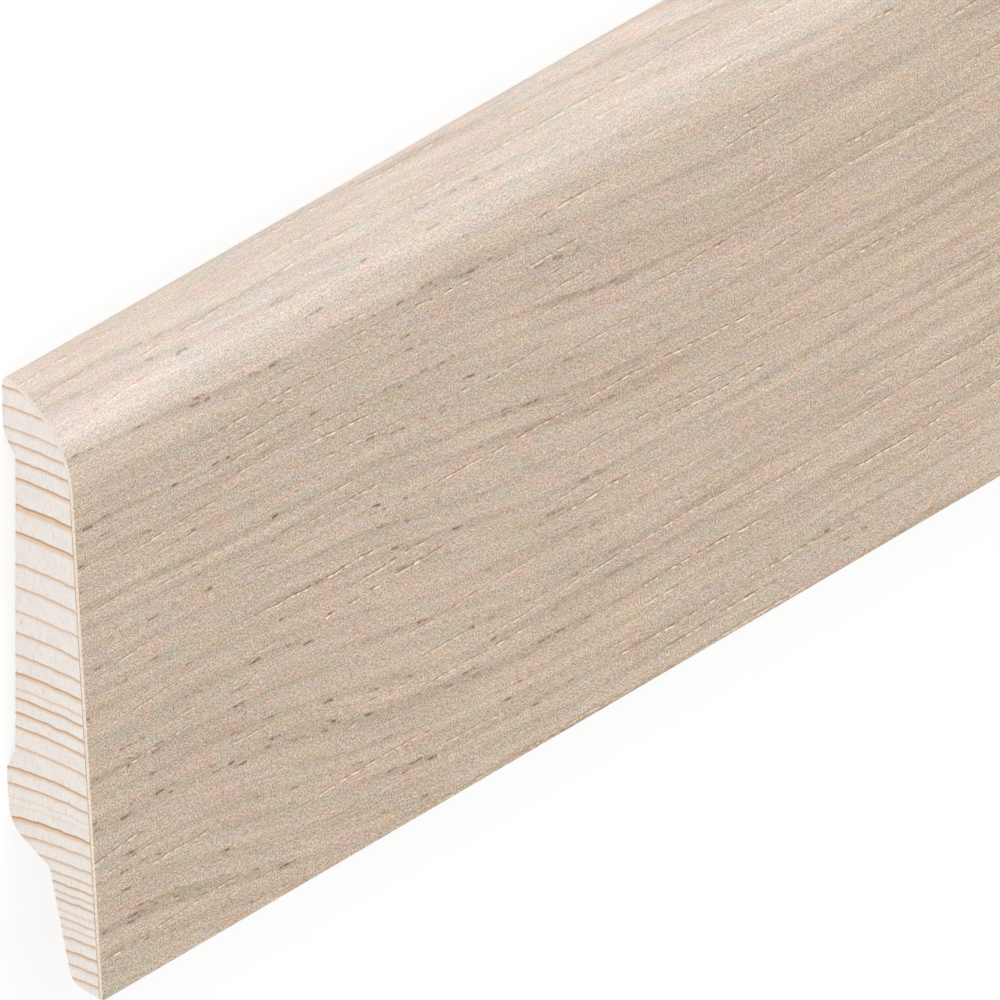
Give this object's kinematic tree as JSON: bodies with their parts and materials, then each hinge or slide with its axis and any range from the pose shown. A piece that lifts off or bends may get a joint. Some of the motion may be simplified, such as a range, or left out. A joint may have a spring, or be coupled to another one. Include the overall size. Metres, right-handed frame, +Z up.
{
  "type": "skirting board length",
  "caption": "Length of veneered softwood skirting board with a rounded top edge, a leaning face, a hollow back and a slanted foot.",
  "frame": {"origin": "on the floor, in the middle of the length and of the height, with the board lying on the two lugs of its back", "axes": "+X along the length, +Y from the foot to the rounded top edge, +Z up out of the veneered face"},
  "size_m": [2.4, 0.08, 0.0152],
  "materials": {
    "softwood": "planed, unfinished",
    "oiled_oak": "white-oiled, satin"
  },
  "bodies": {
    "root": {"softwood_core": "softwood", "oak_veneer": "oiled_oak"}
  },
  "joints": []
}
